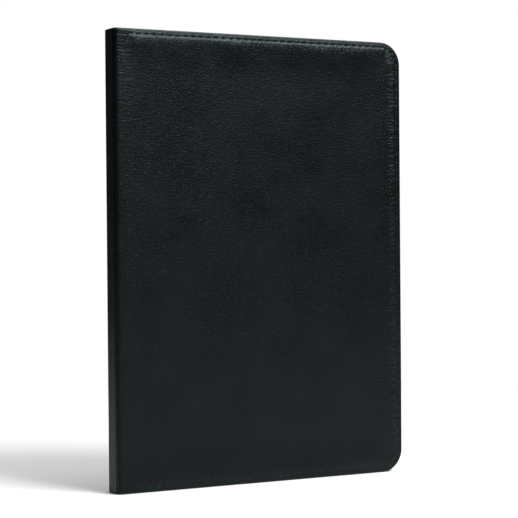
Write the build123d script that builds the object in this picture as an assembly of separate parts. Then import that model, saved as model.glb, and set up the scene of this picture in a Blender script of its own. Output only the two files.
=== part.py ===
"""Book-style folio case for a 9.7-inch class tablet, closed and standing on its bottom edge.

A front cover, a spine and a back cover are laminates of leatherette, padding, board and suede lining,
joined by two soft gutters that act as hinges. A moulded tray bonded inside the back cover holds the tablet.

Frame: X runs from the spine (-X) to the free edges (+X), Y from the front cover (-Y) to the back cover (+Y),
and Z up. The origin is the middle of the bottom edge. Units are millimetres.
"""
from build123d import *
import os

# --- Overall size ---------------------------------------------------------------------------------
CASE_WIDTH = 182.0
CASE_HEIGHT = 250.0
CORNER_RADIUS = 13.0          # free corners of both covers

# --- The tablet that the case is cut for ----------------------------------------------------------
TABLET_WIDTH = 169.5
TABLET_HEIGHT = 240.0
TABLET_CORNER_RADIUS = 9.5
TABLET_SPACE = 6.2            # 6.1 mm thick tablet and 0.1 mm of play

# --- Laminate of a cover, from the outside inwards ------------------------------------------------
LEATHER = 0.65
PADDING = 0.3
BOARD = 0.9
LINING = 0.5
COVER = LEATHER + PADDING + BOARD + LINING
TURN_IN = 0.5                 # skived leather folded over the edge of the lining side
GLUE_LINE = 0.05              # gap left beside a bonded piece

# --- Tray -----------------------------------------------------------------------------------------
TRAY_FLOOR = 1.0
TRAY_LINER = 0.3
TRAY_LIP = 0.9
TRAY_WALL = 1.2
TRAY_PLAY = 0.3               # between tablet edge and tray wall
TRAY_FREE_MARGIN = 4.0        # from the covers' free edge to the tray
LIP_REACH = 1.7               # how far a corner lip stands over the tablet's glass
CLIP_LENGTH = 26.0            # length of each corner lip along either side
ADHESIVE = 0.3
ADHESIVE_INSET = 6.0
LID_GAP = 0.6                 # between the closed front lining and the tray's lips

CASE_DEPTH = 2 * COVER + LID_GAP + TRAY_LIP + TABLET_SPACE + TRAY_LINER + TRAY_FLOOR + ADHESIVE

# --- Spine and hinges -----------------------------------------------------------------------------
GUTTER_RADIUS = 3.0           # outer radius of the soft corner between spine and cover
HINGE_GAP = 0.4               # between a gutter and the stiff cover that turns about it
SPINE_BOARD_MARGIN = 2.0      # from the ends of the spine to its board
SPINE_LINING_MARGIN = 1.0

# --- Edge finish ----------------------------------------------------------------------------------
HEM_WIDTH = 4.4               # solid folded border outside the board
LINING_INSET = 6.5            # border of turned leather around the lining
HEM_ROUND = 0.9
STITCH_INSET = 3.0
STITCH_GROOVE = 0.8
THREAD_WIDTH = 0.5
THREAD_HEIGHT = 0.3
STITCH_START = 12.0           # distance of the first stitch from the spine's outer face

# --- Magnets --------------------------------------------------------------------------------------
WAKE_MAGNET = (12.0, 4.0)     # width and height of each sleep-wake magnet
WAKE_MAGNET_PITCH = 16.0
WAKE_MAGNETS = 3
WAKE_MAGNET_INSET = 18.0      # free edge to the middle of the row
CLOSURE_MAGNET = (5.0, 22.0)
CLOSURE_INSET = 9.5
CLOSURE_HEIGHTS = (0.28, 0.72)  # shares of the case height
SLOT_PLAY = 0.2

# --- Openings -------------------------------------------------------------------------------------
CAMERA_RADIUS = 7.0
CAMERA_COLLAR = 1.0
CAMERA_EDGE = 13.0            # from both edges of the tablet to the middle of the window
BOTTOM_CUTS = ((0.0, 18.0), (-40.0, 34.0), (40.0, 34.0))    # middle and width: port, two speakers
TOP_CUTS = ((44.0, 24.0), (-51.0, 12.0))                    # middle and width: power key, headphones
VOLUME_CUT_HEIGHT = 0.78      # share of the case height
VOLUME_CUT_LENGTH = 34.0

# --- Derived places -------------------------------------------------------------------------------
SPINE_X = -CASE_WIDTH / 2
FREE_X = CASE_WIDTH / 2
FRONT_Y = -CASE_DEPTH / 2
BACK_Y = CASE_DEPTH / 2
PANEL_X = SPINE_X + GUTTER_RADIUS + HINGE_GAP     # hinge-side end of both stiff covers
GUTTER_X = SPINE_X + GUTTER_RADIUS
MID_Z = CASE_HEIGHT / 2

TRAY_WIDTH = TABLET_WIDTH + 2 * (TRAY_PLAY + TRAY_WALL)
TRAY_HEIGHT = TABLET_HEIGHT + 2 * (TRAY_PLAY + TRAY_WALL)
TRAY_X = FREE_X - TRAY_FREE_MARGIN - TRAY_WIDTH / 2
TRAY_FRONT_Y = FRONT_Y + COVER + LID_GAP
LIP_UNDER_Y = TRAY_FRONT_Y + TRAY_LIP
LINER_Y = LIP_UNDER_Y + TABLET_SPACE
FLOOR_Y = LINER_Y + TRAY_LINER
TRAY_BACK_Y = FLOOR_Y + TRAY_FLOOR
CAMERA_X = TRAY_X + TABLET_WIDTH / 2 - CAMERA_EDGE
CAMERA_Z = MID_Z + TABLET_HEIGHT / 2 - CAMERA_EDGE


# --- Helpers --------------------------------------------------------------------------------------
def slab(sketch, y_low, y_high):
    """Extrudes a sketch drawn in X and Z between two depths."""
    return extrude(Plane.XZ.offset(-y_high) * sketch, amount=y_high - y_low)


def rectangle(x_low, x_high, z_low, z_high):
    """A rectangle by its limits in X and Z."""
    centre = Pos((x_low + x_high) / 2, (z_low + z_high) / 2)
    return centre * Rectangle(x_high - x_low, z_high - z_low)


def cover_outline(inset, left_x=PANEL_X):
    """Outline of a cover, inset from its three free edges, with round free corners."""
    shape = rectangle(left_x, FREE_X - inset, inset, CASE_HEIGHT - inset)
    corners = shape.vertices().sort_by(Axis.X)[-2:]
    return fillet(corners, CORNER_RADIUS - inset)


def depths(side, outer, inner):
    """Y limits of a layer from its depth below the outer face of the front or back cover."""
    if side == "front":
        return FRONT_Y + outer, FRONT_Y + inner
    return BACK_Y - inner, BACK_Y - outer


def layer(side, sketch, outer, inner):
    """One layer of a cover between two depths below its outer face."""
    return slab(sketch, *depths(side, outer, inner))


def seam(width):
    """Band along the stitch line of a cover, open at the hinge side."""
    band = cover_outline(STITCH_INSET - width / 2) - cover_outline(STITCH_INSET + width / 2)
    return band & rectangle(SPINE_X + STITCH_START, FREE_X, 0, CASE_HEIGHT)


def camera_hole(radius):
    """Round hole behind the tablet's camera, through everything."""
    return slab(Pos(CAMERA_X, CAMERA_Z) * Circle(radius), -CASE_DEPTH, CASE_DEPTH)


def save(name, shape):
    """Writes one node."""
    shape.label = name
    export_step(shape, f"parts/{name}.step")


# --- Covers ---------------------------------------------------------------------------------------
def cover_leather(side):
    """Outer skin with a folded hem on three edges, a pocket for the core and a window for the lining."""
    skin = layer(side, cover_outline(0), 0, COVER)
    free_edges = [
        edge
        for face in (skin.faces().sort_by(Axis.Y)[0], skin.faces().sort_by(Axis.Y)[-1])
        for edge in face.edges()
        if edge.center().X > PANEL_X + 1
    ]
    skin = fillet(free_edges, HEM_ROUND)
    skin -= layer(side, cover_outline(HEM_WIDTH, PANEL_X + TURN_IN), LEATHER, COVER - TURN_IN)
    skin -= layer(side, cover_outline(LINING_INSET, PANEL_X + TURN_IN), LEATHER, COVER + 1)
    groove = seam(STITCH_GROOVE)
    skin -= layer(side, groove, -1, THREAD_HEIGHT)
    skin -= layer(side, groove, COVER - THREAD_HEIGHT, COVER + 1)
    return skin


def cover_thread(side):
    """Lockstitch thread: one run in the outer groove and one in the inner groove."""
    run = seam(THREAD_WIDTH)
    sunk = GLUE_LINE
    outer_run = layer(side, run, sunk, THREAD_HEIGHT)
    inner_run = layer(side, run, COVER - THREAD_HEIGHT, COVER - sunk)
    return Compound(children=[outer_run, inner_run])


def core_outline(side):
    """Outline shared by the padding and the board."""
    return cover_outline(HEM_WIDTH + SLOT_PLAY, PANEL_X + TURN_IN + SLOT_PLAY)


def cover_padding(side):
    """Thin foam under the outer leather."""
    return layer(side, core_outline(side), LEATHER, LEATHER + PADDING)


def closure_places():
    """Middles of the two closure magnets, near the free edge."""
    return [(FREE_X - CLOSURE_INSET, share * CASE_HEIGHT) for share in CLOSURE_HEIGHTS]


def wake_places():
    """Middles of the sleep-wake magnets, in a row near the free edge at mid height."""
    first = MID_Z - WAKE_MAGNET_PITCH * (WAKE_MAGNETS - 1) / 2
    return [(FREE_X - WAKE_MAGNET_INSET, first + index * WAKE_MAGNET_PITCH) for index in range(WAKE_MAGNETS)]


def plates(places, size, play=0.0):
    """Rectangles of one size at several places, as one sketch."""
    return Sketch() + [Pos(x, z) * Rectangle(size[0] + play, size[1] + play) for x, z in places]


def magnets(side, places, size):
    """Flat bars let into the board, bonded to the padding."""
    outer = LEATHER + PADDING
    inner = outer + BOARD - GLUE_LINE
    bars = [layer(side, plates([place], size), outer, inner) for place in places]
    return Compound(children=bars)


def cover_board(side, slots):
    """Stiffening board with slots for the magnets."""
    outer = LEATHER + PADDING
    board = layer(side, core_outline(side), outer, outer + BOARD)
    for places, size in slots:
        board -= layer(side, plates(places, size, SLOT_PLAY), outer - 1, outer + BOARD + 1)
    return board


def cover_lining(side):
    """Suede lining set inside the turned leather border."""
    outline = cover_outline(LINING_INSET + GLUE_LINE, PANEL_X + TURN_IN + GLUE_LINE)
    return layer(side, outline, COVER - LINING, COVER)


# --- Spine ----------------------------------------------------------------------------------------
def spine_strip(outer, inner, z_margin):
    """One flat layer of the spine between the two gutters."""
    y_low, y_high = FRONT_Y + GUTTER_RADIUS, BACK_Y - GUTTER_RADIUS
    x_middle = SPINE_X + (outer + inner) / 2
    size = (inner - outer, y_high - y_low, CASE_HEIGHT - 2 * z_margin)
    return Pos(x_middle, (y_low + y_high) / 2, MID_Z) * Box(*size)


def gutter(side, outer, inner, z_margin):
    """Quarter ring that carries a layer round the corner from the spine to a cover."""
    sign = -1 if side == "front" else 1
    centre_y = sign * (CASE_DEPTH / 2 - GUTTER_RADIUS)
    ring = Circle(GUTTER_RADIUS - outer) - Circle(GUTTER_RADIUS - inner)
    half = GUTTER_RADIUS / 2
    quarter = ring & Pos(-half, sign * half) * Rectangle(GUTTER_RADIUS, GUTTER_RADIUS)
    place = Pos(GUTTER_X, centre_y, z_margin)
    return place * extrude(quarter, amount=CASE_HEIGHT - 2 * z_margin)


# --- Tray -----------------------------------------------------------------------------------------
def tray_outline(grow):
    """The tablet's outline, grown on every side."""
    size = (TABLET_WIDTH + 2 * grow, TABLET_HEIGHT + 2 * grow)
    return Pos(TRAY_X, MID_Z) * RectangleRounded(*size, TABLET_CORNER_RADIUS + grow)


def end_cut(middle, width, top):
    """Opening through the tray's top or bottom wall."""
    wall = TRAY_WALL + TRAY_PLAY
    outer_z = MID_Z + TRAY_HEIGHT / 2 if top else MID_Z - TRAY_HEIGHT / 2
    z_low, z_high = (outer_z - wall, outer_z + 1) if top else (outer_z - 1, outer_z + wall)
    x = TRAY_X + middle
    return rectangle(x - width / 2, x + width / 2, z_low, z_high)


def tray_wall_cuts():
    """Openings for the port and speakers below, power key and headphones above, volume keys at the side."""
    cuts = [end_cut(middle, width, False) for middle, width in BOTTOM_CUTS]
    cuts += [end_cut(middle, width, True) for middle, width in TOP_CUTS]
    outer_x = TRAY_X + TRAY_WIDTH / 2
    middle = VOLUME_CUT_HEIGHT * CASE_HEIGHT
    half = VOLUME_CUT_LENGTH / 2
    cuts.append(rectangle(outer_x - TRAY_WALL - TRAY_PLAY, outer_x + 1, middle - half, middle + half))
    return cuts


def tray_floor():
    """Flat floor of the tray, with a collar round the camera window that reaches into the back cover."""
    floor = slab(tray_outline(TRAY_PLAY + TRAY_WALL), FLOOR_Y, TRAY_BACK_Y)
    collar = Pos(CAMERA_X, CAMERA_Z) * Circle(CAMERA_RADIUS + CAMERA_COLLAR)
    floor += slab(collar, TRAY_BACK_Y, BACK_Y - LEATHER / 2)
    return floor - camera_hole(CAMERA_RADIUS)


def tray_rim():
    """Wall round the tablet with its openings, and a lip over the glass at each corner."""
    rim = slab(tray_outline(TRAY_PLAY + TRAY_WALL), TRAY_FRONT_Y, FLOOR_Y)
    rim -= slab(tray_outline(TRAY_PLAY), LIP_UNDER_Y, FLOOR_Y)

    # The mouth is cut back to the walls between the corners, so that the lips stand only there.
    inner_width, inner_height = TABLET_WIDTH + 2 * TRAY_PLAY, TABLET_HEIGHT + 2 * TRAY_PLAY
    mouth = tray_outline(-LIP_REACH)
    mouth += Pos(TRAY_X, MID_Z) * Rectangle(inner_width - 2 * CLIP_LENGTH, inner_height)
    mouth += Pos(TRAY_X, MID_Z) * Rectangle(inner_width, inner_height - 2 * CLIP_LENGTH)
    rim -= slab(mouth, TRAY_FRONT_Y - 1, LIP_UNDER_Y)
    for cut in tray_wall_cuts():
        rim -= slab(cut, TRAY_FRONT_Y - 1, FLOOR_Y)
    return rim


def tray_corner_zone():
    """The four corner regions of the rim that carry lips."""
    reach = CLIP_LENGTH + TRAY_WALL
    zones = Sketch() + [
        Pos(TRAY_X + side * (TRAY_WIDTH - reach) / 2, MID_Z + end * (TRAY_HEIGHT - reach) / 2)
        * Rectangle(reach, reach)
        for side in (-1, 1)
        for end in (-1, 1)
    ]
    return slab(zones, TRAY_FRONT_Y - 1, FLOOR_Y + 1)


def tray_liner():
    """Soft sheet on the tray's floor, under the tablet."""
    sheet = slab(tray_outline(-GLUE_LINE), LINER_Y, FLOOR_Y)
    return sheet - camera_hole(CAMERA_RADIUS)


def tray_adhesive():
    """Double-sided sheet that bonds the tray to the back cover's lining, notched round the camera window."""
    reach = CAMERA_RADIUS + CAMERA_COLLAR + SLOT_PLAY
    notch = rectangle(CAMERA_X - reach, FREE_X, CAMERA_Z - reach, CASE_HEIGHT)
    return slab(tray_outline(-ADHESIVE_INSET) - notch, TRAY_BACK_Y, BACK_Y - COVER)


# --- Assembly -------------------------------------------------------------------------------------
def build():
    """Makes every node of the case."""
    closures, wakers = closure_places(), wake_places()
    window = camera_hole(CAMERA_RADIUS + CAMERA_COLLAR + SLOT_PLAY)
    soft = LEATHER + LINING
    return {
        "front_outer_leather": cover_leather("front"),
        "front_padding": cover_padding("front"),
        "front_board": cover_board("front", [(closures, CLOSURE_MAGNET), (wakers, WAKE_MAGNET)]),
        "front_lining": cover_lining("front"),
        "front_stitching": cover_thread("front"),
        "closure_magnets": magnets("front", closures, CLOSURE_MAGNET),
        "wake_magnets": magnets("front", wakers, WAKE_MAGNET),
        "spine_leather": spine_strip(0, LEATHER, 0),
        "spine_board": spine_strip(LEATHER, COVER - LINING, SPINE_BOARD_MARGIN),
        "spine_lining": spine_strip(COVER - LINING, COVER, SPINE_LINING_MARGIN),
        "front_hinge_leather": gutter("front", 0, LEATHER, 0),
        "front_hinge_lining": gutter("front", LEATHER, soft, SPINE_LINING_MARGIN),
        "rear_hinge_leather": gutter("back", 0, LEATHER, 0),
        "rear_hinge_lining": gutter("back", LEATHER, soft, SPINE_LINING_MARGIN),
        "back_outer_leather": cover_leather("back") - window,
        "back_padding": cover_padding("back") - window,
        "back_board": cover_board("back", [(closures, CLOSURE_MAGNET)]) - window,
        "back_lining": cover_lining("back") - window,
        "back_stitching": cover_thread("back"),
        "closure_plates": magnets("back", closures, CLOSURE_MAGNET),
        "tray_floor": tray_floor(),
        "tray_side_walls": tray_rim() - tray_corner_zone(),
        "tray_corner_clips": tray_rim() & tray_corner_zone(),
        "tray_liner": tray_liner(),
        "tray_adhesive": tray_adhesive(),
    }


os.makedirs("parts", exist_ok=True)
for node_name, node_shape in build().items():
    save(node_name, node_shape)
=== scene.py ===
"""Looks of the book folio tablet case: grained leatherette skin, seams, suede lining and moulded tray.

Lengths are millimetres until a mesh is made. Only the stage, the lights and the camera are given in metres.
The skin is drawn flat and then wrapped round the spine: s runs from the middle of the spine to the free
edge, z is the height, and d is the depth below the outer face. Each point also has its inset from the edge,
and in the border its run along the edge.
"""
import math

import bmesh
import bpy
import numpy as np
from mathutils import Matrix, Vector
from mathutils.geometry import tessellate_polygon


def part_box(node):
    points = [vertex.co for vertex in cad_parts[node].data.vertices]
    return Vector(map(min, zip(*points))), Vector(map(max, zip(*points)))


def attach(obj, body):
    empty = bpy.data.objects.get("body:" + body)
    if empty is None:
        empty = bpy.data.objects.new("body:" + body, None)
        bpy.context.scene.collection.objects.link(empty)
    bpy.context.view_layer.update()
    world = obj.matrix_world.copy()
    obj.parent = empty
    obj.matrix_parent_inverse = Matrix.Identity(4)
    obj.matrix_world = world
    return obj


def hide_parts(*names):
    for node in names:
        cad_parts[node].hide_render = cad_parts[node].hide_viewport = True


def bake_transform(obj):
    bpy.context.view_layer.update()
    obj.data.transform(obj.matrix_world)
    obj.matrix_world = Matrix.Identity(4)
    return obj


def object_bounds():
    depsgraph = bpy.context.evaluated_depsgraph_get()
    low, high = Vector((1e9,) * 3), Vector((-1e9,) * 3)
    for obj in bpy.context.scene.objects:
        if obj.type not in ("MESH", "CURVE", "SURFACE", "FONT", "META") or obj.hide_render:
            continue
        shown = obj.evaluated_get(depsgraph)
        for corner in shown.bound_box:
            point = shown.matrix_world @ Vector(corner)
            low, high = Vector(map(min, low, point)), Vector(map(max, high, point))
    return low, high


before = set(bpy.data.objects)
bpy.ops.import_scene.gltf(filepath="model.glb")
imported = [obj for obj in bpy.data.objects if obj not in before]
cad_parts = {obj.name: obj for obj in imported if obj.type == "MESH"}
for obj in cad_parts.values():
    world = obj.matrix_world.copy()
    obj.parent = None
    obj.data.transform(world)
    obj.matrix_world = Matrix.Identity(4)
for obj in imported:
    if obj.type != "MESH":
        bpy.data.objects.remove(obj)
cad_low, cad_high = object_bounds()

MM = 0.001


def size_of(node):
    """Size of a CAD node in millimetres."""
    low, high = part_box(node)
    return (high - low) / MM


# --- Sizes from the frame ---------------------------------------------------------------------------
SPINE_X = cad_low.x / MM
HEIGHT = cad_high.z / MM
WIDTH = (cad_high.x - cad_low.x) / MM
DEPTH = (cad_high.y - cad_low.y) / MM
COVER = size_of("front_outer_leather").y
GUTTER = size_of("front_hinge_leather").x
LEATHER = size_of("spine_leather").x
HALF_SPINE = DEPTH / 2 - GUTTER
PANEL_S = HALF_SPINE + GUTTER * math.pi / 2
EDGE_S = PANEL_S + WIDTH - GUTTER

# --- Sizes of the finish ----------------------------------------------------------------------------
CORNER = 13.0                       # radius of the free corners
HEM_ROUND = 0.9                     # radius of the folded edge
HEM_WIDTH = 4.45                    # from the edge to the hollow for the board
TURNED = 6.5                        # width of the leather turned over on the inner side
TURNED_SKIN = 0.48                  # its thickness
CUT_EDGE = 0.2                      # depth over which its cut edge is rounded
CUT_ROUND = 0.06                    # a point on that rounding lies this far in and down
STITCH_INSET = 3.0
STITCH_PITCH = 4.7
STITCH_FROM = PANEL_S + 9.0
STITCH_LENGTH = 3.3
THREAD = 0.27                       # radius of the thread
DIVE = 0.62                         # how far a stitch's ends go down
SEAM_WIDTH = 0.42                   # half width of the dimple at a stitch
VALLEY = 0.5                        # depth of that dimple
INNER_SEAM_WIDTH = 0.6              # the same on the inner side
INNER_VALLEY = 0.22
RISE = 0.24                         # climb of the lip, from the hem to the seam
RISE_TO = 2.5
PUFF = 0.66                         # height of the padded roll inside the seam
PUFF_FROM = 2.3
PUFF_CREST = 5.1                    # from PUFF_FROM to the top of the roll
FADE = (10.0, 26.0)                 # insets between which lip and roll sink into the panel
PLEAT = 0.07                        # height of the pleats at the seam
WAVE = 0.08                         # height of the panel's gentle waves
CREASE = 0.05                       # height of the creases beside the gutter
CROWN = 0.14                        # height of the panel's shoulder beside the gutter
WINDOW_ROUND = 0.4                  # rounding of the skin at the camera window
SUEDE_SUNK = 0.06                   # the lining lies this much below the turned leather
SUEDE_GAP = 0.08                    # and this far from its edge
SUEDE_CLEAR = 0.02                  # clearance under it
SUEDE_INSET = 8.0                   # a ring on its flat face
SUEDE_BEVEL = 0.18                  # drop at its cut edge
SUEDE_WINDOW_ROUND = 0.1

# Samples of the sheets: the finest step along the border, the rings' insets and the angles round the hem.
FINE_STEP = 0.75
COARSE_INSETS = (CORNER, 11.2, 9.6)
RELIEF_INSETS = (8.4, 7.4, 6.6, 5.9, 5.3, 4.75, 4.3, 3.9, 3.6, 3.3, 3.0, 2.7, 2.4, 2.1, 1.8, 1.45, 1.15)
TURNED_INSETS = (1.3, 1.8, 2.2, 2.6, 3.0, 3.4, 3.8, 4.5, 5.4, TURNED - 0.25)
HEM_ANGLES = (22.5, 45.0, 67.5, 90.0)
CORNER_SEGMENTS = 24

# --- Tray and camera window -------------------------------------------------------------------------
floor_low, floor_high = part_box("tray_floor")
clips_low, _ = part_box("tray_corner_clips")
liner_low, liner_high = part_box("tray_liner")
TRAY_X = (floor_low.x + floor_high.x) / 2 / MM
TRAY_Z = (floor_low.z + floor_high.z) / 2 / MM
LIP_Y = clips_low.y / MM            # front of the corner lips
FLOOR_Y = floor_low.y / MM          # face of the floor, towards the tablet
COLLAR_Y = floor_high.y / MM        # back end of the camera collar
TRAY_FLOOR = 1.0                    # thickness of the floor
TRAY_BACK_Y = FLOOR_Y + TRAY_FLOOR
WALL = 1.2                          # thickness of the walls
PLAY = 0.3                          # between tablet and wall
TABLET_WIDTH = size_of("tray_floor").x - 2 * (WALL + PLAY)
TABLET_HEIGHT = size_of("tray_floor").z - 2 * (WALL + PLAY)
TABLET_CORNER = 9.5                 # radius
LIP = 0.9                           # thickness of a corner lip
LIP_REACH = 2.0                     # from the wall's inner face
CLIP = 26.0                         # length of a corner clip along each side
RIM_INSET = 3.0                     # from the tablet's outline to where the flat faces begin
BACK_ROUND = 0.4                    # edge round the back of the floor
RIM_ROUND = 0.3                     # edges of the walls, the lips and the wall's foot
CUT_SOFT = 0.8                      # half length of the slope at the end of a cut-out
LIP_SOFT = 1.3                      # half length of the slope at the end of a lip
# Cut-outs: the middle of each, from the middle of its side, and its length.
END_CUTS = {"top": ((44.0, 24.0), (-51.0, 12.0)), "bottom": ((0.0, 18.0), (-40.0, 34.0), (40.0, 34.0))}
SIDE_CUT = (0.78 * HEIGHT - TRAY_Z, 34.0)
CAMERA_INSET = 13.0                 # from both edges of the tablet
CAMERA_RADIUS = 7.0
COLLAR = 1.0                        # wall of the collar round the camera window
WINDOW_GAP = 0.25                   # from the collar to the skin
HOLE_SEGMENTS = 56
CAMERA_X = TRAY_X + TABLET_WIDTH / 2 - CAMERA_INSET
CAMERA_Z = TRAY_Z + TABLET_HEIGHT / 2 - CAMERA_INSET
WINDOW = (PANEL_S + CAMERA_X - SPINE_X - GUTTER, CAMERA_Z)
WINDOW_RADIUS = CAMERA_RADIUS + COLLAR + WINDOW_GAP


# --- Small helpers ----------------------------------------------------------------------------------
def smooth(low, high, value):
    """0 below low, 1 above high, and a smooth step between."""
    t = np.clip((value - low) / (high - low), 0.0, 1.0)
    return t * t * (3 - 2 * t)


def ripple(value, seed, octaves=3):
    """Smooth pseudo-random waves of one variable, about -1 to 1, with a wavelength near 1."""
    rng = np.random.default_rng(seed)
    total = np.zeros_like(value, dtype=float)
    for octave in range(octaves):
        frequency = 2 * math.pi * (0.6 + 0.75 * octave) * (0.9 + 0.2 * rng.random())
        total += np.sin(frequency * value + rng.random() * 2 * math.pi) / (1 + 0.5 * octave)
    return total / 2.2


def swell(s, z, wavelength, seed):
    """Smooth pseudo-random undulation over a surface, about -1 to 1."""
    rng = np.random.default_rng(seed)
    total = np.zeros_like(s, dtype=float)
    for _ in range(7):
        angle = rng.random() * 2 * math.pi
        k = 2 * math.pi / (wavelength * (0.6 + 0.9 * rng.random()))
        total += np.sin(k * (math.cos(angle) * s + math.sin(angle) * z) + rng.random() * 2 * math.pi)
    return total / 3.5


def doubled(values):
    """The values with a midpoint between each two."""
    middles = (values[1:] + values[:-1]) / 2
    out = np.empty(len(values) + len(middles))
    out[0::2] = values
    out[1::2] = middles
    return out


# --- Borders, rings and fields ----------------------------------------------------------------------
def cover_inset(s, z):
    """Distance of a point from the nearest free edge."""
    return np.minimum(np.minimum(z, HEIGHT - z), EDGE_S - s)


class Border:
    """Samples along a border with round corners: base points, inward normals and the run along it."""

    def __init__(self, pieces):
        points, inward = [], []
        for index, (xy, normal) in enumerate(pieces):
            skip = 0 if index == 0 else 1
            points.append(xy[skip:])
            inward.append(normal[skip:])
        self.base = np.vstack(points)
        self.inward = np.vstack(inward)
        steps = np.linalg.norm(np.diff(self.base, axis=0), axis=1)
        self.run = np.concatenate([[0.0], np.cumsum(steps)])


def straight(fixed, values, axis, normal):
    """A straight stretch of border along one axis, at its samples."""
    xy = np.zeros((len(values), 2))
    xy[:, axis] = values
    xy[:, 1 - axis] = fixed
    return xy, np.tile(np.array(normal, float), (len(values), 1))


def corner(centre, radius, start):
    """A quarter turn of border, clockwise from the start angle in degrees."""
    angle = np.radians(start - np.linspace(0, 90, CORNER_SEGMENTS + 1))
    out = np.stack([np.cos(angle), np.sin(angle)], axis=1)
    return np.array(centre) + radius * out, -out


def cover_border():
    """Border of half the skin: top edge from the spine's middle, free edge, and bottom edge back again."""
    spine = np.linspace(0, HALF_SPINE, 4)
    bend = np.linspace(HALF_SPINE, PANEL_S, 9)[1:]
    count = round((EDGE_S - CORNER - PANEL_S) / (2 * FINE_STEP))
    panel = np.linspace(PANEL_S, EDGE_S - CORNER, count + 1)[1:]
    across = np.concatenate([spine, bend, panel])
    count = round((HEIGHT - 2 * CORNER) / (2 * FINE_STEP))
    upright = np.linspace(HEIGHT - CORNER, CORNER, count + 1)
    border = Border([
        straight(HEIGHT, doubled(across), 0, (0, -1)),
        corner((EDGE_S - CORNER, HEIGHT - CORNER), CORNER, 90),
        straight(EDGE_S, doubled(upright), 1, (-1, 0)),
        corner((EDGE_S - CORNER, CORNER), CORNER, 0),
        straight(0.0, doubled(across)[::-1], 0, (0, 1)),
    ])
    return border, across, upright


class Sheet:
    """Collects the flat points and faces of one closed sheet, and welds them."""

    def __init__(self):
        self.points = []
        self.border = []
        self.faces = []
        self.count = 0

    def add(self, s, z, d, run, inset):
        """Adds points and returns their numbers."""
        self.points.append(np.stack([s, z, d], axis=1))
        self.border.append(np.stack([run, inset, np.zeros_like(s)], axis=1))
        numbers = np.arange(self.count, self.count + len(s))
        self.count += len(s)
        return numbers

    def ring(self, border, inset, level, fine):
        """One ring at an inset from the border. Coarse rings have every second sample."""
        step = 1 if fine else 2
        base, inward, run = border.base[::step], border.inward[::step], border.run[::step]
        xy = base + inset * inward
        insets = np.full(len(xy), float(inset))
        d = level(xy[:, 0], xy[:, 1], insets, run)
        return self.add(xy[:, 0], xy[:, 1], d, run, insets)

    def bridge(self, one, two):
        """Faces between two rings, which have the same number of samples or half of it."""
        if len(one) == len(two):
            for i in range(len(one) - 1):
                self.faces.append((one[i], one[i + 1], two[i + 1], two[i]))
            return
        fine, coarse = (one, two) if len(one) > len(two) else (two, one)
        for i in range(len(coarse) - 1):
            self.faces.append((fine[2 * i], fine[2 * i + 1], fine[2 * i + 2], coarse[i + 1], coarse[i]))

    def field(self, across, upright, level):
        """The flat field inside the last ring, on a grid."""
        s, z = np.meshgrid(across, upright, indexing="ij")
        inset = cover_inset(s, z)
        d = level(s.ravel(), z.ravel(), inset.ravel(), np.zeros(s.size))
        numbers = self.add(s.ravel(), z.ravel(), d, np.zeros(s.size), inset.ravel()).reshape(s.shape)
        quads = np.stack([numbers[:-1, :-1], numbers[1:, :-1], numbers[1:, 1:], numbers[:-1, 1:]], axis=-1)
        self.faces.extend(map(tuple, quads.reshape(-1, 4)))

    def weld(self):
        """Merges points that coincide, and drops faces that have collapsed."""
        points = np.vstack(self.points)
        border = np.vstack(self.border)
        _, first, back = np.unique(np.round(points, 4), axis=0, return_index=True, return_inverse=True)
        back = back.ravel()
        faces = []
        for face in self.faces:
            kept = []
            for number in face:
                welded = int(back[number])
                if welded not in kept:
                    kept.append(welded)
            if len(kept) > 2:
                faces.append(tuple(kept))
        return points[first], border[first], faces


def bore(points, border, faces, centre, radius, rounding):
    """Cuts a round hole through both faces of a welded sheet and closes its wall."""
    centre = np.array(centre)
    near = np.linalg.norm(points[:, :2] - centre, axis=1) < radius + 4
    kept, uses = [], {}
    for face in faces:
        if not near[face[0]] or math.hypot(*(points[list(face), :2].mean(axis=0) - centre)) >= radius:
            kept.append(face)
            continue
        for a, b in zip(face, face[1:] + face[:1]):
            pair = (min(a, b), max(a, b))
            uses[pair] = uses.get(pair, 0) + 1

    # The rim's points are paired across the sheet by their flat place.
    rim = [pair for pair, count in uses.items() if count == 1]
    numbers = sorted({number for pair in rim for number in pair})
    place = {n: tuple(np.round(points[n, :2], 3)) for n in numbers}
    level = {n: points[n, 2] for n in numbers}
    middle_level = (min(level.values()) + max(level.values())) / 2
    shallow = {place[n]: n for n in numbers if level[n] < middle_level}
    deep = {place[n]: n for n in numbers if level[n] >= middle_level}

    # Each pair moves onto the circle, and a rounded column of points joins it.
    extra, extra_border, columns = [], [], {}
    for key, n in shallow.items():
        m = deep[key]
        away = points[n, :2] - centre
        away = away / np.linalg.norm(away)
        top, bottom = points[n, 2], points[m, 2]
        points[n, :2] = centre + away * (radius + rounding)
        points[m, :2] = centre + away * radius
        column = [n]
        for angle in (30, 60, 90):
            turn = math.radians(angle)
            reach = radius + rounding * (1 - math.sin(turn))
            drop = min(rounding * (1 - math.cos(turn)), 0.9 * (bottom - top))
            column.append(len(points) + len(extra))
            extra.append([*(centre + away * reach), top + drop])
            extra_border.append(border[n])
        column.append(m)
        columns[key] = column
    for a, b in rim:
        if shallow.get(place[a]) == a:
            one, two = columns[place[a]], columns[place[b]]
            for i in range(len(one) - 1):
                kept.append((one[i], two[i], two[i + 1], one[i + 1]))
    return np.vstack([points, extra]), np.vstack([border, extra_border]), kept


def wrap(points, side):
    """Wraps flat points round the spine to the front (side 1) or the back (side -1), as positions."""
    s, z, d = points.T
    angle = np.clip((s - HALF_SPINE) / GUTTER, 0.0, math.pi / 2)
    along = np.clip(s - PANEL_S, 0.0, None)
    x = GUTTER - (GUTTER - d) * np.cos(angle) + along
    y = GUTTER - (GUTTER - d) * np.sin(angle) + np.clip(HALF_SPINE - s, 0.0, None)
    return np.stack([SPINE_X + x, side * (y - DEPTH / 2), z], axis=1)


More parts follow.
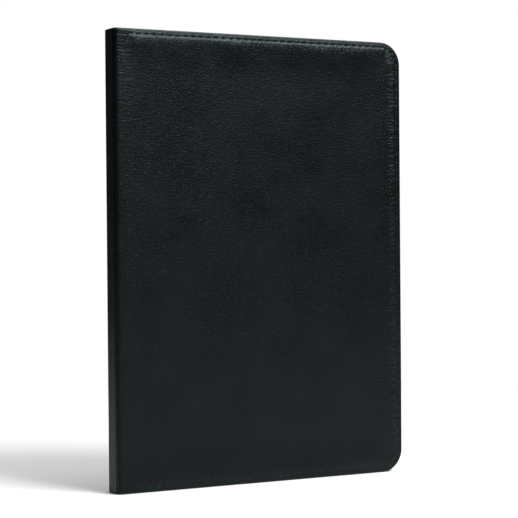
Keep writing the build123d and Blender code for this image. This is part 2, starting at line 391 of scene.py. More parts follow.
def mesh_object(name, positions, faces, attributes=(), smooth_angle=40):
    """Makes a mesh object from positions in millimetres, closed, with its faces turned outwards."""
    mesh = bpy.data.meshes.new(name)
    mesh.from_pydata((positions * MM).tolist(), [], [tuple(map(int, face)) for face in faces])
    for label, values in attributes:
        layer = mesh.attributes.new(label, "FLOAT_VECTOR", "POINT")
        layer.data.foreach_set("vector", np.asarray(values, np.float32).ravel())
    piece = bpy.data.objects.new(name, mesh)
    bpy.context.scene.collection.objects.link(piece)
    bm = bmesh.new()
    bm.from_mesh(mesh)
    loose = [edge for edge in bm.edges if edge.is_boundary]
    if loose:
        bmesh.ops.holes_fill(bm, edges=loose, sides=0)
    bmesh.ops.recalc_face_normals(bm, faces=bm.faces)
    bm.to_mesh(mesh)
    bm.free()
    for polygon in mesh.polygons:
        polygon.use_smooth = True
    mesh.set_sharp_from_angle(angle=math.radians(smooth_angle))
    return piece


# --- Shape of the skin ------------------------------------------------------------------------------
def thinned(level, s):
    """Depth of an inner layer, which lies thinner in the gutter, where there is no board."""
    in_gutter = smooth(HALF_SPINE, HALF_SPINE + 1.2, s) * (1 - smooth(PANEL_S - 0.6, PANEL_S + 1.0, s))
    return np.where(level > LEATHER, LEATHER + (level - LEATHER) * (1 - 0.6 * in_gutter), level)


def sewn(s):
    """1 where the border is sewn, and 0 round the spine."""
    return smooth(STITCH_FROM - 5.0, STITCH_FROM + 1.0, s)


def outer_relief(seed):
    """Depth of the outer face, with its stitched lip, padded roll, pleats, waves and creases."""

    def level(s, z, inset, run):
        # Beside the free edge the roll and its pleats are lower.
        slack = 1 - 0.6 * smooth(EDGE_S - 34.0, EDGE_S - 8.0, s)
        fade = 1 - smooth(*FADE, inset)
        patch = 0.82 + 0.3 * swell(s, z, 38.0, seed)
        x = np.clip(inset - PUFF_FROM, 0.0, None) / PUFF_CREST
        puff = PUFF * slack * patch * (x * np.exp(1 - x)) ** 1.4 * fade
        rise = RISE * smooth(HEM_ROUND, RISE_TO, inset) * fade

        # 1 in the middle of each stitch and 0 between stitches.
        pull = 0.5 - 0.5 * np.cos(2 * math.pi * (run - STITCH_FROM) / STITCH_PITCH)
        valley = VALLEY * pull * np.exp(-((inset - STITCH_INSET) / SEAM_WIDTH) ** 2)
        gather = ripple(run / 3.1, seed + 1, 2) * np.clip(ripple(run / 47.0, seed + 2) + 0.45, 0, 1.4)
        pleat = PLEAT * slack * gather * smooth(3.0, 4.6, inset) * (1 - smooth(6.5, 12.0, inset))

        # The panel's gentle waves, and its creases and shoulder beside the gutter.
        wave = WAVE * swell(s, z, 55.0, seed + 3) * smooth(6.0, 22.0, inset) * smooth(4.0, 12.0, s)
        from_end = np.minimum(z, HEIGHT - z)
        near_gutter = smooth(PANEL_S - 2.0, PANEL_S + 1.5, s) * (1 - smooth(PANEL_S + 4, PANEL_S + 16, s))
        ends = 0.25 + 0.75 * (1 - smooth(8.0, 60.0, from_end))
        crease = CREASE * near_gutter * ends * ripple(z / 3.4, seed + 4) * smooth(4.0, 8.0, from_end)
        crown = CROWN * smooth(PANEL_S + 0.2, PANEL_S + 2.4, s) * (1 - smooth(PANEL_S + 3, PANEL_S + 12, s))
        off_spine = smooth(1.2, 4.0, s)
        return off_spine * (sewn(s) * (valley - puff - rise - pleat) - wave - crease - crown)

    return level


def inner_level(base):
    """A ring's level on the inner side, with the seam sunk into it and the gutter thinner."""

    def level(s, z, inset, run):
        valley = INNER_VALLEY * np.exp(-((inset - STITCH_INSET) / INNER_SEAM_WIDTH) ** 2) * sewn(s)
        return thinned(np.full_like(s, base), s) - valley

    return level


def plain_level(base):
    """A ring's level on the inner side, with the gutter thinner."""
    return lambda s, z, inset, run: thinned(np.full_like(s, base), s)


def hem_turn(angle):
    """Inset and drop at an angle round the folded edge, in degrees."""
    turn = math.radians(angle)
    return HEM_ROUND * (1 - math.sin(turn)), HEM_ROUND * (1 - math.cos(turn))


def cover_sheet(name, side, stations, levels, hole, rounding):
    """A closed sheet over half the case, from its rings and from the levels of its two flat fields."""
    border, across, upright = cover_border()
    sheet = Sheet()
    rings = [sheet.ring(border, *station) for station in stations]
    for one, two in zip(rings, rings[1:]):
        sheet.bridge(one, two)
    for level in levels:
        sheet.field(across, upright, level)
    points, edge, faces = sheet.weld()
    if hole:
        points, edge, faces = bore(points, edge, faces, hole, WINDOW_RADIUS, rounding)
    flat = points * np.array((side, 1, 1))
    return mesh_object(name, wrap(points, side), faces, [("flat", flat), ("border", edge)])


def skin(name, side, seed, hole=None):
    """Half of the outer skin, from the middle of the spine, with its folded hem, as one closed sheet."""
    relief = outer_relief(seed)
    stations = [(inset, relief, False) for inset in COARSE_INSETS]
    stations += [(inset, relief, True) for inset in (*RELIEF_INSETS, HEM_ROUND)]
    for angle in HEM_ANGLES:
        inset, drop = hem_turn(angle)
        stations.append((inset, plain_level(drop), True))
    for angle in (*HEM_ANGLES[::-1], 0.0):
        inset, drop = hem_turn(angle)
        stations.append((inset, plain_level(COVER - drop), True))
    stations += [(inset, inner_level(COVER), True) for inset in TURNED_INSETS]
    stations += [
        (TURNED - CUT_ROUND, plain_level(COVER - CUT_ROUND), True),
        (TURNED, plain_level(COVER - CUT_EDGE), True),
        (TURNED, plain_level(COVER - TURNED_SKIN), True),
        (HEM_WIDTH, plain_level(COVER - TURNED_SKIN), True),
        (HEM_WIDTH, plain_level(LEATHER), True),
    ]
    stations += [(inset, plain_level(LEATHER), False) for inset in COARSE_INSETS[::-1]]
    return cover_sheet(name, side, stations, (relief, plain_level(LEATHER)), hole, WINDOW_ROUND)


def lining(name, side, hole=None):
    """Half of the suede lining, set inside the turned leather, from the middle of the spine."""
    top = COVER - SUEDE_SUNK
    under = COVER - TURNED_SKIN + SUEDE_CLEAR
    start = TURNED + SUEDE_GAP
    stations = [(inset, plain_level(top), False) for inset in COARSE_INSETS]
    stations += [
        (SUEDE_INSET, plain_level(top), True),
        (start + 0.5, plain_level(top), True),
        (start + 0.15, plain_level(top - 0.05), True),
        (start, plain_level(top - SUEDE_BEVEL), True),
        (start, plain_level(under), True),
    ]
    stations += [(inset, plain_level(under), False) for inset in COARSE_INSETS[::-1]]
    levels = (plain_level(top), plain_level(under))
    return cover_sheet(name, side, stations, levels, hole, SUEDE_WINDOW_ROUND)


# --- Seam -------------------------------------------------------------------------------------------
def stitches(name, side, seed):
    """Every stitch of a cover's seam, on both faces, as short threads that dive into their holes."""
    border, _, _ = cover_border()
    rng = np.random.default_rng(seed)
    count = int((border.run[-1] - 2 * STITCH_FROM) / STITCH_PITCH)
    steps, sides = 9, 8
    points, faces, ply = [], [], []
    t = np.linspace(0, 1, steps)
    from_middle = np.abs(2 * t - 1)
    radius = THREAD * (1 - 0.18 * from_middle ** 4)
    phi = np.linspace(0, 2 * math.pi, sides, endpoint=False)
    for face_sign, surface in ((1, VALLEY - RISE), (-1, COVER - INNER_VALLEY)):
        for index in range(count):
            run = STITCH_FROM + (index + 0.5) * STITCH_PITCH + (t - 0.5) * STITCH_LENGTH
            inset = STITCH_INSET + (0.13 * (2 * t - 1) + 0.03 * rng.standard_normal())
            base_s = np.interp(run, border.run, border.base[:, 0])
            base_z = np.interp(run, border.run, border.base[:, 1])
            in_s = np.interp(run, border.run, border.inward[:, 0])
            in_z = np.interp(run, border.run, border.inward[:, 1])
            dive = DIVE * from_middle ** 3.5
            depth = surface + face_sign * (dive - THREAD * (0.62 + 0.1 * rng.random()))
            first = len(points)
            for j in range(steps):
                for angle in phi:
                    reach = inset[j] + radius[j] * math.cos(angle)
                    height = depth[j] + 0.8 * radius[j] * math.sin(angle)
                    points.append((base_s[j] + reach * in_s[j], base_z[j] + reach * in_z[j], height))
                    ply.append((t[j] * STITCH_PITCH, angle / (2 * math.pi), float(index)))
            for j in range(steps - 1):
                for k in range(sides):
                    a, b = first + j * sides + k, first + j * sides + (k + 1) % sides
                    faces.append((a, b, b + sides, a + sides))
            faces.append(tuple(first + k for k in range(sides)))
            faces.append(tuple(first + (steps - 1) * sides + k for k in range(sides)))
    return mesh_object(name, wrap(np.array(points), side), faces, [("ply", ply)], smooth_angle=70)


# --- Tray -------------------------------------------------------------------------------------------
def side_places(half, marks):
    """Places along a straight side, coarse in the plain runs and fine where the wall changes."""
    span = 1.5
    places = [np.linspace(-half, half, round(half))]
    for mark in marks:
        if abs(mark) < half - span - 0.1:
            places.append(mark + np.linspace(-span, span, 11))
    return np.unique(np.round(np.concatenate(places), 3))


def rim(width, height, radius, cuts, clip):
    """Samples round a rounded rectangle: points, outward normals, and how open and how lipped each is."""
    half_w, half_h = width / 2 - radius, height / 2 - radius
    sides = (
        ("top", (0, 1), (1, 0), half_w, half_h, width / 2),
        ("free", (1, 0), (0, -1), half_h, half_w, height / 2),
        ("bottom", (0, -1), (-1, 0), half_w, half_h, width / 2),
        ("spine", (-1, 0), (0, 1), half_h, half_w, height / 2),
    )
    turn = np.radians(np.linspace(0, 90, 15))[1:-1, None]
    points, normals, opened, lipped = [], [], [], []
    for label, out, along, half, reach, end in sides:
        out, along = np.array(out, float), np.array(along, float)
        sign = along[0] + along[1]
        gaps = [(sign * middle, span / 2) for middle, span in cuts.get(label, ())]
        lip_end = end + PLAY - clip
        marks = [middle + way * span for middle, span in gaps for way in (-1, 1)] + [-lip_end, lip_end]
        places = side_places(half, marks)
        is_open = np.zeros_like(places)
        for middle, span in gaps:
            is_open += 1 - smooth(span - CUT_SOFT, span + CUT_SOFT, np.abs(places - middle))
        points.append(places[:, None] * along + (reach + radius) * out)
        normals.append(np.tile(out, (len(places), 1)))
        opened.append(is_open)
        lipped.append(smooth(lip_end - LIP_SOFT, lip_end + LIP_SOFT, np.abs(places)))

        # The corner after this side.
        normal = np.cos(turn) * out + np.sin(turn) * along
        points.append(half * along + reach * out + radius * normal)
        normals.append(normal)
        opened.append(np.zeros(len(turn)))
        lipped.append(np.ones(len(turn)))
    centre = np.array([TRAY_X, TRAY_Z])
    return np.vstack(points) + centre, np.vstack(normals), np.concatenate(opened), np.concatenate(lipped)


def arc(u, y, radius, start, end):
    """Points on a small arc of a profile, from one angle to another, in degrees."""
    angle = np.radians(np.linspace(start, end, 4))
    return [(u + radius * math.cos(a), y + radius * math.sin(a)) for a in angle]


def tray_profile(is_open, lip):
    """Section of the tray's rim, from the back round to the floor: offset from the tablet, and depth."""
    outer = PLAY + WALL
    top = LIP_Y + (FLOOR_Y - LIP_Y) * is_open
    tip = PLAY - LIP_REACH * lip
    under = top + LIP
    profile = [(-RIM_INSET, TRAY_BACK_Y)]
    profile += arc(outer - BACK_ROUND, TRAY_BACK_Y - BACK_ROUND, BACK_ROUND, 90, 0)
    profile += arc(outer - RIM_ROUND, top + RIM_ROUND, RIM_ROUND, 0, -90)

    # The inner side: the lip's rounded tip and its underside, the wall and its foot.
    inside = arc(tip + RIM_ROUND, top + RIM_ROUND, RIM_ROUND, -90, -180)
    soft = min(1.0, 3 * lip)
    inside += [(tip, under - 0.22), (tip + 0.08 * soft, under - 0.05), (tip + 0.25 * soft, under)]
    inside += [(PLAY - 0.3 * soft, under + 0.04), (PLAY - 0.08 * soft, under + 0.1), (PLAY, under + 0.4)]
    foot = min(max(FLOOR_Y - RIM_ROUND, under + 0.5), FLOOR_Y)
    for turn in np.linspace(0, math.pi / 2, 4):
        inside.append((PLAY - RIM_ROUND * (1 - math.cos(turn)), foot + (FLOOR_Y - foot) * math.sin(turn)))

    # At a cut-out these points lie on the floor, each a little further in than the last.
    for number, (u, y) in enumerate(inside):
        profile.append((u - 0.08 * number * is_open, min(y, FLOOR_Y)))
    profile.append((-RIM_INSET, FLOOR_Y))
    return profile


def moulding(name, outline, profiles, hole):
    """A closed shell swept round an outline, with flat faces inside it and a round hole through them."""
    base, normal = outline
    points, faces = [], []
    for place, out, profile in zip(base, normal, profiles):
        points += [(*(place + u * out), y) for u, y in profile]
    rows, columns = len(base), len(profiles[0])
    for i in range(rows):
        j = (i + 1) % rows
        for k in range(columns - 1):
            a, b = i * columns + k, j * columns + k
            faces.append((a, b, b + 1, a + 1))

    # The wall of the hole, one ring of points after another.
    start, around = len(points), HOLE_SEGMENTS
    turns = np.linspace(0, 2 * math.pi, around, endpoint=False)
    for radius, y in hole:
        points += [(CAMERA_X + radius * math.cos(a), CAMERA_Z + radius * math.sin(a), y) for a in turns]
    for ring in range(len(hole) - 1):
        for k in range(around):
            a, b = start + ring * around + k, start + ring * around + (k + 1) % around
            faces.append((a, b, b + around, a + around))

    # The two flat faces, each between the outline and one end of the hole.
    for column, ring in ((columns - 1, 0), (0, len(hole) - 1)):
        outer = [i * columns + column for i in range(rows)]
        inner = [start + ring * around + k for k in range(around)]
        loops = [[Vector((*points[n][:2], 0)) for n in loop] for loop in (outer, inner)]
        numbers = outer + inner
        faces += [tuple(numbers[n] for n in triangle) for triangle in tessellate_polygon(loops)]
    points = np.array(points)[:, [0, 2, 1]]
    return mesh_object(name, points, faces, [("flat", points)], smooth_angle=35)


def tray():
    """The tray as one moulding: floor, walls with cut-outs, corner lips and camera collar."""
    cuts = dict(END_CUTS, free=(SIDE_CUT,))
    base, normal, opened, lipped = rim(TABLET_WIDTH, TABLET_HEIGHT, TABLET_CORNER, cuts, CLIP)
    profiles = [tray_profile(*state) for state in zip(opened, lipped)]
    inner, outer = CAMERA_RADIUS, CAMERA_RADIUS + COLLAR
    hole = [(inner + 0.3, FLOOR_Y), (inner + 0.09, FLOOR_Y + 0.09), (inner, FLOOR_Y + 0.3)]
    hole += [(inner, COLLAR_Y - 0.25), (inner + 0.07, COLLAR_Y - 0.07), (inner + 0.25, COLLAR_Y)]
    hole += [(outer - 0.25, COLLAR_Y), (outer - 0.07, COLLAR_Y - 0.07), (outer, COLLAR_Y - 0.25)]
    hole += [(outer, TRAY_BACK_Y + 0.2), (outer + 0.2, TRAY_BACK_Y)]
    return moulding("tray_moulding", (base, normal), profiles, hole)


def tray_liner():
    """The soft sheet on the tray's floor, with rounded edges."""
    base, normal, _, _ = rim(TABLET_WIDTH, TABLET_HEIGHT, TABLET_CORNER, {}, CLIP)
    low, high = liner_low.y / MM, liner_high.y / MM - 0.02
    profile = [(-RIM_INSET, high), (-0.15, high), (-0.06, high - 0.05), (-0.05, low + 0.12)]
    profile += [(-0.12, low + 0.03), (-0.3, low), (-RIM_INSET, low)]
    hole = [(CAMERA_RADIUS + 0.5, low), (CAMERA_RADIUS + 0.35, low + 0.1), (CAMERA_RADIUS + 0.35, high)]
    return moulding("tray_liner_sheet", (base, normal), [profile] * len(base), hole)


# --- Materials --------------------------------------------------------------------------------------
class Finish:
    """A procedural material, with short names for the nodes that it uses."""

    def __init__(self, name, roughness, metallic=0.0, specular=0.5):
        self.material = bpy.data.materials.new(name)
        self.material.use_nodes = True
        self.tree = self.material.node_tree
        self.shader = next(node for node in self.tree.nodes if node.type == "BSDF_PRINCIPLED")
        self.shader.inputs["Roughness"].default_value = roughness
        self.shader.inputs["Metallic"].default_value = metallic
        self.shader.inputs["Specular IOR Level"].default_value = specular

    def node(self, kind, inputs=(), **settings):
        """Adds a node, with its settings, and with numbers or links on its inputs."""
        node = self.tree.nodes.new(kind)
        for label, value in settings.items():
            setattr(node, label, value)
        for socket, value in dict(inputs).items():
            self.feed(node.inputs[socket], value)
        return node

    def feed(self, socket, value):
        """Links a socket to another, or gives it a number."""
        if isinstance(value, bpy.types.NodeSocket):
            self.tree.links.new(value, socket)
        else:
            socket.default_value = value

    def attribute(self, label="flat"):
        """Vector of a named attribute of the mesh."""
        return self.node("ShaderNodeAttribute", attribute_name=label).outputs["Vector"]

    def place(self):
        """Position on a rigid part, in millimetres."""
        place = self.node("ShaderNodeTexCoord").outputs["Object"]
        return self.stretched(place, (1 / MM,) * 3)

    def stretched(self, vector, factors):
        """The vector times a factor on each axis."""
        return self.node("ShaderNodeVectorMath", {0: vector, 1: factors}, operation="MULTIPLY").outputs[0]

    def noise(self, vector, scale, detail=3.0, roughness=0.55):
        """Soft noise, from 0 to 1."""
        inputs = {"Vector": vector, "Scale": scale, "Detail": detail, "Roughness": roughness}
        return self.node("ShaderNodeTexNoise", inputs).outputs[0]

    def cells(self, vector, scale, feature="F1", randomness=1.0):
        """Distance to the middle, or to the edge, of the nearest cell."""
        inputs = {"Vector": vector, "Scale": scale, "Randomness": randomness}
        return self.node("ShaderNodeTexVoronoi", inputs, feature=feature).outputs["Distance"]

    def remap(self, value, low, high, to_low=0.0, to_high=1.0):
        """The value, taken smoothly from one range to another."""
        inputs = {0: value, 1: low, 2: high, 3: to_low, 4: to_high}
        return self.node("ShaderNodeMapRange", inputs, interpolation_type="SMOOTHSTEP").outputs[0]

    def maths(self, operation, one, two=0.0):
        """One operation on one or two values."""
        return self.node("ShaderNodeMath", {0: one, 1: two}, operation=operation).outputs[0]

    def add(self, one, two):
        """One value plus another."""
        return self.maths("ADD", one, two)

    def times(self, one, two):
        """One value times another."""
        return self.maths("MULTIPLY", one, two)

    def mix(self, factor, one, two):
        """A colour between two, each given as red, green and blue or as a link."""
        node = self.node("ShaderNodeMix", data_type="RGBA")
        self.feed(node.inputs[0], factor)
        for socket, colour in ((node.inputs[6], one), (node.inputs[7], two)):
            self.feed(socket, colour if isinstance(colour, bpy.types.NodeSocket) else (*colour, 1.0))
        return node.outputs[2]

    def warped(self, vector, scale, amount):
        """The vector, pushed about by a noise."""
        inputs = {"Vector": vector, "Scale": scale, "Detail": 2.0}
        noise = self.node("ShaderNodeTexNoise", inputs).outputs["Color"]
        middle = (0.5,) * 3
        offset = self.node("ShaderNodeVectorMath", {0: noise, 1: middle}, operation="SUBTRACT").outputs[0]
        push = self.node("ShaderNodeVectorMath", {0: offset, "Scale": amount}, operation="SCALE").outputs[0]
        return self.node("ShaderNodeVectorMath", {0: vector, 1: push}, operation="ADD").outputs[0]

    def bump(self, height, depth, strength=1.0, under=None):
        """Bump of a given depth in millimetres, on top of another bump if there is one."""
        inputs = {"Height": height, "Distance": depth * MM, "Strength": strength}
        if under:
            inputs["Normal"] = under
        return self.node("ShaderNodeBump", inputs).outputs[0]

    def finish(self, colour, roughness=None, normal=None):
        """Feeds the shader."""
        self.feed(self.shader.inputs["Base Color"], colour)
        if roughness:
            self.feed(self.shader.inputs["Roughness"], roughness)
        if normal:
            self.feed(self.shader.inputs["Normal"], normal)
        return self.material


def pebble_grain(f, flat):
    """The pebbles, as 0 between them and 1 on them, and the height of the whole grain."""
    grain = f.stretched(f.warped(flat, 0.55, 0.9), (1.0, 0.86, 1.0))
    pebbles = f.remap(f.cells(grain, 0.68, "DISTANCE_TO_EDGE", 0.9), 0.0, 0.26)
    small = f.remap(f.cells(grain, 2.3, "DISTANCE_TO_EDGE"), 0.0, 0.3)
    pores = f.noise(flat, 5.5, 2.0)
    return pebbles, f.add(f.add(pebbles, f.times(small, 0.35)), f.times(pores, 0.18))


def seam_folds(f, run, inset):
    """Height of the fine folds that run in from the seam."""
    place = f.node("ShaderNodeCombineXYZ", {0: run, 1: f.times(inset, 0.12)}).outputs[0]
    near_seam = f.times(f.remap(inset, 3.4, 4.6), f.remap(inset, 11.0, 6.0))
    return f.times(f.remap(f.noise(place, 0.7, 1.0), 0.3, 0.7), near_seam)


def gutter_ridges(f, flat):
    """Height of the creases beside the gutter, which are stronger towards its two ends."""
    split = f.node("ShaderNodeSeparateXYZ", {0: flat})
    across = f.maths("ABSOLUTE", split.outputs["X"])
    from_end = f.maths("SUBTRACT", HEIGHT / 2, f.maths("ABSOLUTE", f.add(split.outputs["Y"], -HEIGHT / 2)))
    by_gutter = f.times(f.remap(across, 3.0, 7.5), f.remap(across, 26.0, 10.0))
    by_gutter = f.times(by_gutter, f.remap(from_end, 90.0, 6.0, 0.3, 1.0))
    return f.times(f.noise(f.stretched(flat, (0.1, 0.72, 0.1)), 1.0, 1.5), by_gutter)


def leatherette():
    """Black pebble-grained polyurethane leather, with pores, soft creases and slightly rubbed edges."""
    f = Finish("black_leatherette", 0.37, specular=0.19)
    f.shader.inputs["Specular Tint"].default_value = (0.75, 0.96, 1.0, 1.0)
    flat = f.attribute()
    border = f.node("ShaderNodeSeparateXYZ", {0: f.attribute("border")})
    run, inset = border.outputs["X"], border.outputs["Y"]
    pebbles, grain = pebble_grain(f, flat)
    folds = f.bump(seam_folds(f, run, inset), 0.3, 0.6)
    creases = f.bump(gutter_ridges(f, flat), 0.5, 0.6, folds)
    normal = f.bump(grain, 0.08, 0.7, creases)
    broad = f.noise(flat, 0.035, 3.0)
    rubbed = f.times(f.remap(inset, 1.6, 0.2), 0.4)
    base = f.mix(pebbles, (0.0006, 0.0008, 0.0009), (0.0015, 0.0020, 0.0022))
    patchy = f.mix(f.remap(broad, 0.35, 0.65, 0.0, 0.5), base, (0.0018, 0.0023, 0.0027))
    colour = f.mix(rubbed, patchy, (0.0062, 0.0075, 0.0078))
    roughness = f.add(f.remap(broad, 0.3, 0.7, 0.36, 0.41), f.times(pebbles, -0.05))
    return f.finish(colour, roughness, normal)


def sewing_thread():
    """Black bonded thread of three plies, laid in a twist."""
    f = Finish("black_thread", 0.62, specular=0.15)
    f.shader.inputs["Sheen Weight"].default_value = 0.03
    ply = f.node("ShaderNodeSeparateXYZ", {0: f.attribute("ply")})
    turn = f.add(f.times(ply.outputs["X"], 1.1), f.times(ply.outputs["Y"], 3.0))
    wave = f.maths("SINE", f.times(turn, 2 * math.pi))
    fibres = f.noise(f.stretched(f.attribute("ply"), (2.0, 40.0, 1.0)), 2.0, 2.0)
    height = f.add(f.remap(wave, -1.0, 1.0), f.times(fibres, 0.3))
    colour = f.mix(f.remap(wave, -1.0, 0.6), (0.0006, 0.0007, 0.0008), (0.0026, 0.0029, 0.0031))
    return f.finish(colour, normal=f.bump(height, 0.09, 0.9))


def suede():
    """Short-napped dark microfibre, brushed in soft patches."""
    f = Finish("charcoal_microfibre", 0.95, specular=0.15)
    f.shader.inputs["Sheen Weight"].default_value = 0.55
    f.shader.inputs["Sheen Roughness"].default_value = 0.45
    f.shader.inputs["Sheen Tint"].default_value = (0.55, 0.57, 0.60, 1.0)
    flat = f.attribute()
    nap = f.noise(f.stretched(flat, (3.0, 1.3, 3.0)), 2.2, 4.0, 0.7)
    brushed = f.noise(f.warped(flat, 0.02, 30.0), 0.03, 2.0)
    base = f.mix(f.remap(brushed, 0.42, 0.58), (0.0120, 0.0125, 0.0135), (0.0185, 0.0192, 0.0205))
    colour = f.mix(f.remap(nap, 0.3, 0.7), base, (0.030, 0.031, 0.033))
    return f.finish(colour, f.remap(nap, 0.2, 0.8, 0.85, 1.0), f.bump(nap, 0.12, 0.6))


def moulded_plastic():
    """Black moulded plastic with a fine spark-eroded texture."""
    f = Finish("black_moulded_plastic", 0.42, specular=0.45)
    flat = f.attribute()
    spark = f.noise(flat, 6.0, 4.0, 0.65)
    broad = f.noise(flat, 0.06, 2.0)
    colour = f.mix(f.remap(spark, 0.3, 0.7), (0.0075, 0.0078, 0.0082), (0.0125, 0.0130, 0.0135))
    roughness = f.add(f.remap(spark, 0.25, 0.75, 0.40, 0.52), f.times(broad, 0.06))
    return f.finish(colour, roughness, f.bump(spark, 0.035, 0.6))


def foam():
    """Pale closed-cell foam sheet."""
    f = Finish("pale_foam", 0.9, specular=0.2)
    place = f.place()
    cells = f.cells(place, 2.6)
    colour = f.mix(f.remap(cells, 0.1, 0.6), (0.50, 0.50, 0.48), (0.66, 0.66, 0.63))
    return f.finish(colour, normal=f.bump(cells, 0.1, 0.6))


def grey_board():
    """Grey recycled board with short pulp fibres."""
    f = Finish("grey_board", 0.88, specular=0.2)
    place = f.place()
    fibres = f.noise(f.stretched(f.warped(place, 0.3, 2.0), (0.3, 1.0, 1.6)), 1.6, 5.0, 0.65)
    specks = f.cells(place, 0.7)
    base = f.mix(f.remap(fibres, 0.3, 0.7), (0.20, 0.19, 0.17), (0.33, 0.31, 0.28))
    colour = f.mix(f.remap(specks, 0.12, 0.04), base, (0.09, 0.08, 0.07))
    return f.finish(colour, normal=f.bump(fibres, 0.06, 0.5))


def bright_metal(name, colour, roughness, grain):
    """Plated or rolled metal, with fine lines along its length."""
    f = Finish(name, roughness, metallic=1.0)
    place = f.place()
    lines = f.noise(f.stretched(place, grain), 3.0, 3.0)
    darker = tuple(0.82 * value for value in colour)
    shade = f.mix(f.remap(lines, 0.3, 0.7), darker, colour)
    dull = f.remap(lines, 0.2, 0.8, roughness - 0.06, roughness + 0.1)
    return f.finish(shade, dull, f.bump(lines, 0.01, 0.4))


def adhesive_film():
    """Milky double-sided adhesive film with faint trapped ripples."""
    f = Finish("adhesive_film", 0.32, specular=0.5)
    place = f.place()
    ripples = f.noise(place, 0.12, 3.0)
    colour = f.mix(f.remap(ripples, 0.3, 0.7), (0.52, 0.50, 0.42), (0.62, 0.60, 0.53))
    return f.finish(colour, f.remap(ripples, 0.2, 0.8, 0.25, 0.45), f.bump(ripples, 0.05, 0.4))


def set_material(objects, material):
    """Gives the objects one material."""
    for piece in objects:
        piece.data.materials.clear()
        piece.data.materials.append(material)


# --- Pieces -----------------------------------------------------------------------------------------
front_skin = skin("front_skin", 1, 11)
back_skin = skin("back_skin", -1, 23, WINDOW)
front_suede = lining("front_suede", 1)
back_suede = lining("back_suede", -1, WINDOW)
front_seam = stitches("front_seam", 1, 5)
back_seam = stitches("back_seam", -1, 7)
tray_piece = tray()
liner_piece = tray_liner()

set_material((front_skin, back_skin), leatherette())
set_material((front_suede, back_suede, liner_piece), suede())
set_material((front_seam, back_seam), sewing_thread())
set_material((tray_piece,), moulded_plastic())

# CAD parts that stay inside the laminate keep their shape and get their real finish.
magnet_metal = bright_metal("nickel_plated_magnet", (0.62, 0.60, 0.56), 0.24, (1.0, 1.0, 0.2))
plate_steel = bright_metal("rolled_steel", (0.55, 0.55, 0.54), 0.34, (1.0, 1.0, 0.05))
for material, nodes in (
    (foam(), ("front_padding", "back_padding")),
    (grey_board(), ("front_board", "back_board", "spine_board")),
    (magnet_metal, ("closure_magnets", "wake_magnets")),
    (plate_steel, ("closure_plates",)),
    (adhesive_film(), ("tray_adhesive",)),
):
    set_material([bpy.data.objects[node] for node in nodes], material)

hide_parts("front_outer_leather", "front_hinge_leather", "spine_leather")
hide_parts("back_outer_leather", "rear_hinge_leather")
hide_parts("front_lining", "front_hinge_lining", "spine_lining")
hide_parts("back_lining", "rear_hinge_lining")
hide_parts("front_stitching")
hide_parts("back_stitching")
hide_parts("tray_floor", "tray_side_walls", "tray_corner_clips")
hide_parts("tray_liner")

# The skins and linings are wrapped round the gutters; their transforms are baked in, and they go on no
# body.
for piece in (front_skin, front_suede):
    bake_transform(piece)
for piece in (back_skin, back_suede):
    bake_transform(piece)
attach(front_seam, "front_cover")
for piece in (back_seam, tray_piece, liner_piece):
    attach(piece, "back_cover")


# --- Stage, light and camera, in metres -------------------------------------------------------------
def pale_floor():
    """A round pale floor, faintly mottled."""
    bm = bmesh.new()
    bmesh.ops.create_circle(bm, cap_ends=True, segments=128, radius=0.55)
    mesh = bpy.data.meshes.new("floor")
    bm.to_mesh(mesh)
    bm.free()
    floor = bpy.data.objects.new("floor", mesh)
    bpy.context.scene.collection.objects.link(floor)
    f = Finish("pale_floor", 0.7, specular=0.1)
    mottle = f.noise(f.node("ShaderNodeTexCoord").outputs["Object"], 3.0)
    colour = f.mix(f.remap(mottle, 0.3, 0.7), (0.66, 0.66, 0.66), (0.68, 0.68, 0.68))
    set_material((floor,), f.finish(colour))


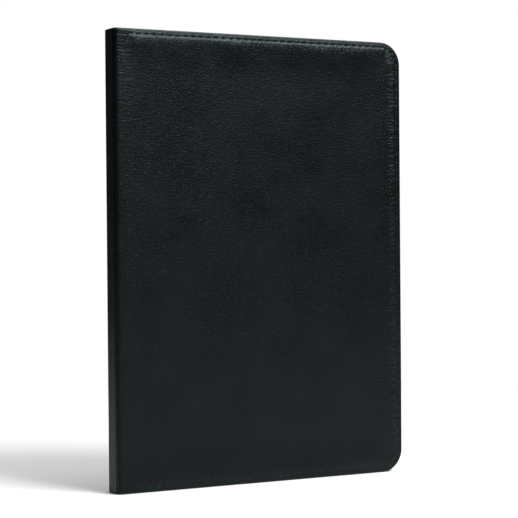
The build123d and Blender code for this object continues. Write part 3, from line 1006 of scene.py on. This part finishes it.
def softbox(name, place, aim, size, power):
    """A rectangular white area light."""
    light = bpy.data.lights.new(name, "AREA")
    light.shape = "RECTANGLE"
    light.size, light.size_y = size
    light.energy = power
    lamp = bpy.data.objects.new(name, light)
    lamp.location = place
    lamp.rotation_euler = (Vector(aim) - Vector(place)).to_track_quat("-Z", "Y").to_euler()
    bpy.context.scene.collection.objects.link(lamp)


def backdrop(seen, cast):
    """World: white of one strength where the camera sees it, and of another where it lights the scene."""
    world = bpy.data.worlds.new("surround")
    world.use_nodes = True
    nodes, links = world.node_tree.nodes, world.node_tree.links
    shade = nodes["Background"]
    shade.inputs["Color"].default_value = (1, 1, 1, 1)
    shade.inputs["Strength"].default_value = cast
    white = nodes.new("ShaderNodeBackground")
    white.inputs["Color"].default_value = (1, 1, 1, 1)
    white.inputs["Strength"].default_value = seen
    mix = nodes.new("ShaderNodeMixShader")
    links.new(nodes.new("ShaderNodeLightPath").outputs["Is Camera Ray"], mix.inputs[0])
    links.new(shade.outputs[0], mix.inputs[1])
    links.new(white.outputs[0], mix.inputs[2])
    links.new(mix.outputs[0], nodes["World Output"].inputs[0])
    bpy.context.scene.world = world


def camera(azimuth, elevation, roll, aim, distance, lens):
    """A camera that looks at a point from an azimuth and an elevation, tilted by a roll, all in degrees."""
    data = bpy.data.cameras.new("camera")
    data.lens = lens
    data.sensor_width = 36.0
    data.clip_start = 0.05
    turn, lift = math.radians(azimuth), math.radians(elevation)
    back = Vector((-math.sin(turn) * math.cos(lift), -math.cos(turn) * math.cos(lift), math.sin(lift)))
    lens_object = bpy.data.objects.new("camera", data)
    lens_object.location = Vector(aim) + distance * back
    level = back.to_track_quat("Z", "Y").to_matrix().to_4x4()
    lens_object.rotation_euler = (level @ Matrix.Rotation(math.radians(roll), 4, "Z")).to_euler()
    bpy.context.scene.collection.objects.link(lens_object)
    bpy.context.scene.camera = lens_object


pale_floor()
softbox("key", (0.5, -1.0, 1.25), (0.0, 0.0, 0.13), (0.9, 0.7), 46.0)
softbox("overhead", (0.25, 0.1, 1.5), (0.0, 0.0, 0.1), (1.3, 1.3), 27.0)
backdrop(1.0, 0.06)
camera(28.78, 0.714, -0.455, (-0.0038, -0.007, 0.1252), 0.949, 118.1)
bpy.context.scene.view_settings.view_transform = "Standard"
